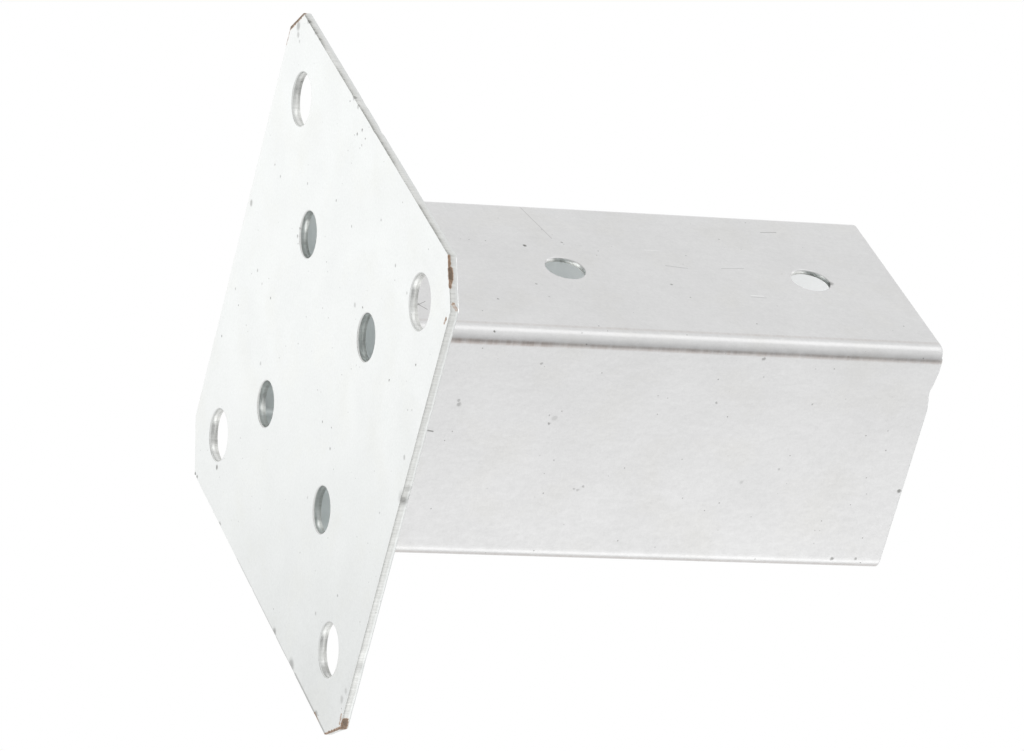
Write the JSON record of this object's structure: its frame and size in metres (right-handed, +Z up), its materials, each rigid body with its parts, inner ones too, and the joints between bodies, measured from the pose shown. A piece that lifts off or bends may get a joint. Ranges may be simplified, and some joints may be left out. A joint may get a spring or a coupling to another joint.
{
  "type": "timber post base",
  "caption": "Square folded-sheet sleeve for a 70 mm timber post, welded on a bolt-down steel plate with punched holes and cut corners.",
  "frame": {"origin": "centre of the base plate's underside", "axes": "+Z up the sleeve, towards the post; the sleeve's screw holes run along Y; its blank walls face +X and -X, with the folded sheet's seam in the -X wall"},
  "size_m": [0.15, 0.15, 0.168],
  "materials": {
    "plate_zinc": "bright zinc plate over 2.5 mm steel, sheared edges with a little rust",
    "sleeve_zinc": "bright zinc plate over 1.5 mm folded steel sheet, fine scratches",
    "weld_zinc": "weld metal under zinc plate"
  },
  "bodies": {
    "root": {"base_plate": "plate_zinc", "sleeve": "sleeve_zinc", "weld_bead_front": "weld_zinc", "weld_bead_right": "weld_zinc", "weld_bead_back": "weld_zinc", "weld_bead_left": "weld_zinc", "seam_tack_middle": "weld_zinc", "seam_tack_end": "weld_zinc"}
  },
  "joints": []
}
